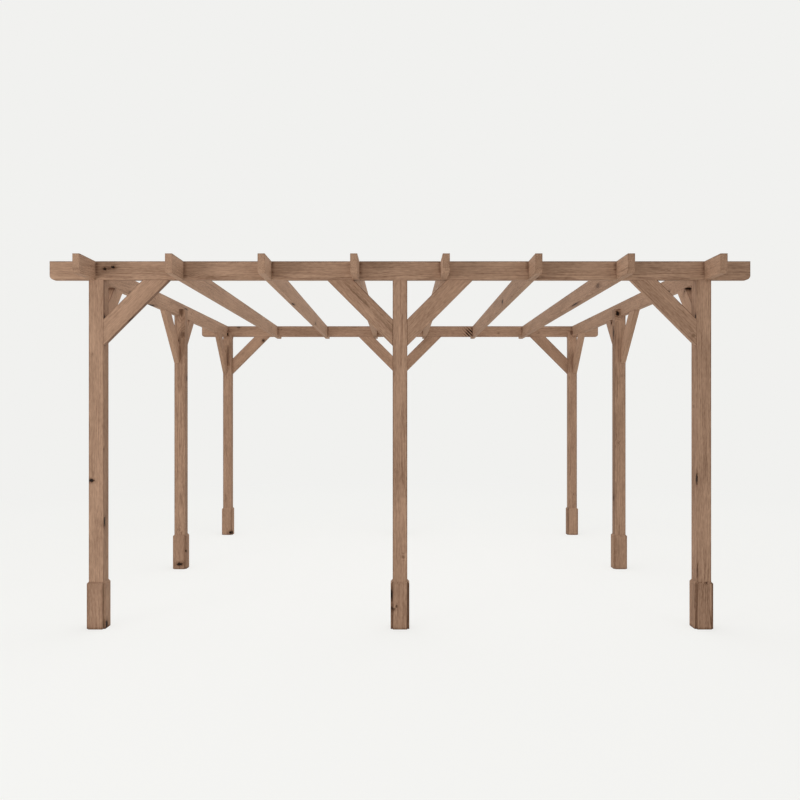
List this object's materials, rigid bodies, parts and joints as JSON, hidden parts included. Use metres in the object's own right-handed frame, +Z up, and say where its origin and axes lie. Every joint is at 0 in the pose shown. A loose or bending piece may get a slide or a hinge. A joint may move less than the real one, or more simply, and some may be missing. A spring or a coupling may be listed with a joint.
{
  "type": "wooden garden pergola",
  "caption": "Free-standing square timber pergola: braced posts with boarded feet carry two beams and evenly spaced rafters let into them, open on every side.",
  "frame": {"origin": "on the ground at the middle of the plan", "axes": "+Z up; -Y is the front, across which a beam runs; the beams lie along X and the rafters along Y"},
  "size_m": [4.8, 4.814, 2.519],
  "materials": {
    "posts": "planed and stained, satin",
    "plinths": "planed and stained, satin",
    "beams": "planed and stained, satin",
    "rafters": "planed and stained, satin",
    "braces": "planed and stained, satin"
  },
  "bodies": {
    "root": {"front_left_post": "posts", "front_centre_post": "posts", "front_right_post": "posts", "middle_left_post": "posts", "middle_right_post": "posts", "back_left_post": "posts", "back_centre_post": "posts", "back_right_post": "posts", "front_left_plinth": "plinths", "front_centre_plinth": "plinths", "front_right_plinth": "plinths", "middle_left_plinth": "plinths", "middle_right_plinth": "plinths", "back_left_plinth": "plinths", "back_centre_plinth": "plinths", "back_right_plinth": "plinths", "front_beam": "beams", "back_beam": "beams", "rafter_1": "rafters", "rafter_2": "rafters", "rafter_3": "rafters", "rafter_4": "rafters", "rafter_5": "rafters", "rafter_6": "rafters", "rafter_7": "rafters", "rafter_8": "rafters", "front_left_brace": "braces", "front_centre_left_brace": "braces", "front_centre_right_brace": "braces", "front_right_brace": "braces", "back_left_brace": "braces", "back_centre_left_brace": "braces", "back_centre_right_brace": "braces", "back_right_brace": "braces", "left_front_brace": "braces", "left_middle_front_brace": "braces", "left_middle_back_brace": "braces", "left_back_brace": "braces", "right_front_brace": "braces", "right_middle_front_brace": "braces", "right_middle_back_brace": "braces", "right_back_brace": "braces"}
  },
  "joints": []
}
